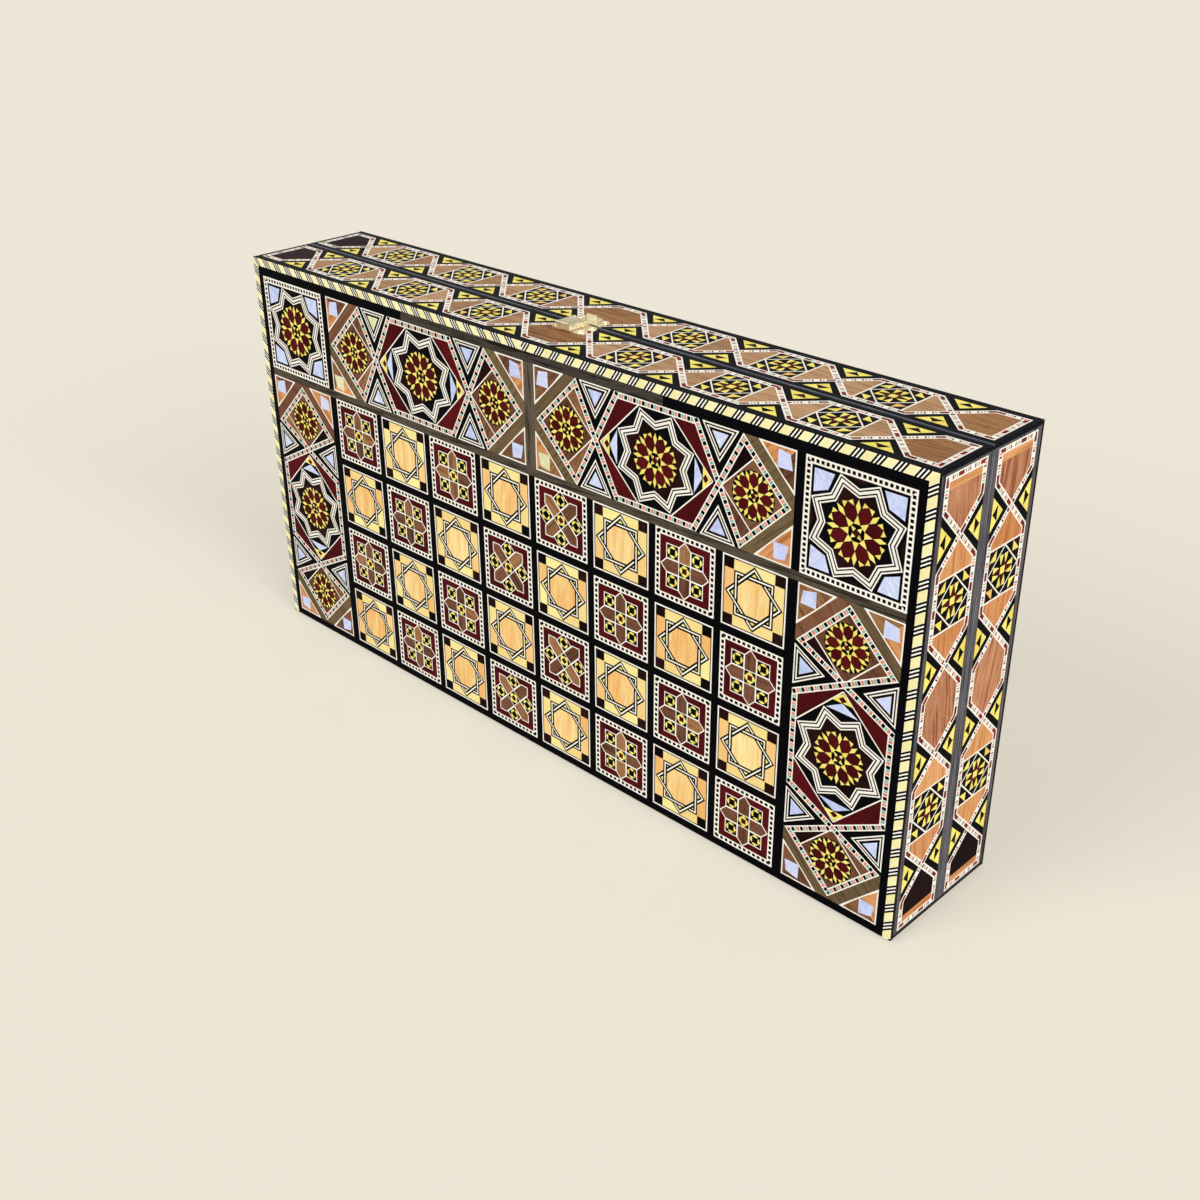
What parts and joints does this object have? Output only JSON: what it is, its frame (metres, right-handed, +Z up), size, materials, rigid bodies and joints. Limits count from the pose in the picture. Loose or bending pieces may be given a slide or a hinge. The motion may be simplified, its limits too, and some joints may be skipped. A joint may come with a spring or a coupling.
{
  "type": "folding chess and backgammon box",
  "caption": "Folding marquetry games box: two shallow shells hinged along one long edge, chess board outside, backgammon field inside, toggle latch.",
  "frame": {"origin": "middle of the hinge line's underside: centre of the bounding box, on the surface that the closed box stands on", "axes": "+X along the hinge edge, +Z up from hinge edge to latch edge, -Y out of the face of the front shell"},
  "size_m": [0.5, 0.085, 0.2576],
  "materials": {
    "beech": "sanded, unseen",
    "walnut": "lacquered",
    "ebony": "lacquered",
    "bone": "lacquered",
    "lemonwood": "lacquered",
    "satinwood": "lacquered, figured",
    "rosewood": "lacquered",
    "olivewood": "lacquered",
    "pearl": "mother-of-pearl, polished",
    "brass": "polished"
  },
  "bodies": {
    "front_shell": {"front_core_board": "beech", "front_top_rail": "walnut", "front_left_rail": "walnut", "front_right_rail": "walnut", "front_hinge_rail": "walnut", "front_face_ground": "ebony", "front_edge_band": "bone", "front_light_squares": "lemonwood", "front_light_octagons": "satinwood", "front_dark_squares": "rosewood", "front_dark_crosses": "walnut", "front_corner_squares": "ebony", "front_border_panels": "walnut", "front_star_inlays": "rosewood", "front_pearl_inlays": "pearl", "front_long_edge_grounds": "ebony", "front_end_edge_grounds": "ebony", "front_edge_cells": "olivewood", "front_playing_floor": "walnut", "front_light_points": "lemonwood", "front_dark_points": "rosewood", "front_medallion": "satinwood", "front_hinge_leaves": "brass", "hinge_pins": "brass", "front_hinge_screws": "brass", "latch_base_plate": "brass", "latch_lever_pin": "brass", "latch_screws": "brass"},
    "back_shell": {"back_core_board": "beech", "back_top_rail": "walnut", "back_left_rail": "walnut", "back_right_rail": "walnut", "back_hinge_rail": "walnut", "back_face_ground": "ebony", "back_edge_band": "bone", "back_light_squares": "lemonwood", "back_light_octagons": "satinwood", "back_dark_squares": "rosewood", "back_dark_crosses": "walnut", "back_corner_squares": "ebony", "back_border_panels": "walnut", "back_star_inlays": "rosewood", "back_pearl_inlays": "pearl", "back_long_edge_grounds": "ebony", "back_end_edge_grounds": "ebony", "back_edge_cells": "olivewood", "back_playing_floor": "walnut", "back_light_points": "lemonwood", "back_dark_points": "rosewood", "back_medallion": "satinwood", "back_hinge_leaves": "brass", "back_hinge_screws": "brass", "catch_plate": "brass", "catch_screws": "brass"},
    "latch_lever": {"latch_lever": "brass"},
    "latch_link": {"latch_link": "brass", "latch_link_pin": "brass"}
  },
  "joints": [
    {"name": "lid_open", "type": "hinge", "parent": "front_shell", "child": "back_shell", "pos_m": [0, 0, 0.0016], "axis": [-1, 0, 0], "range_deg": [0, 180]},
    {"name": "latch_lever_lift", "type": "hinge", "parent": "front_shell", "child": "latch_lever", "pos_m": [0, -0.004, 0.25485], "axis": [-1, 0, 0], "range_deg": [0, 150]},
    {"name": "latch_link_swing", "type": "hinge", "parent": "latch_lever", "child": "latch_link", "pos_m": [0, -0.007, 0.25405], "axis": [-1, 0, 0], "range_deg": [-172.5, 0]}
  ],
  "couplings": [
    {"joint": "latch_link_swing", "follows": "latch_lever_lift", "ratio": -1.15}
  ]
}
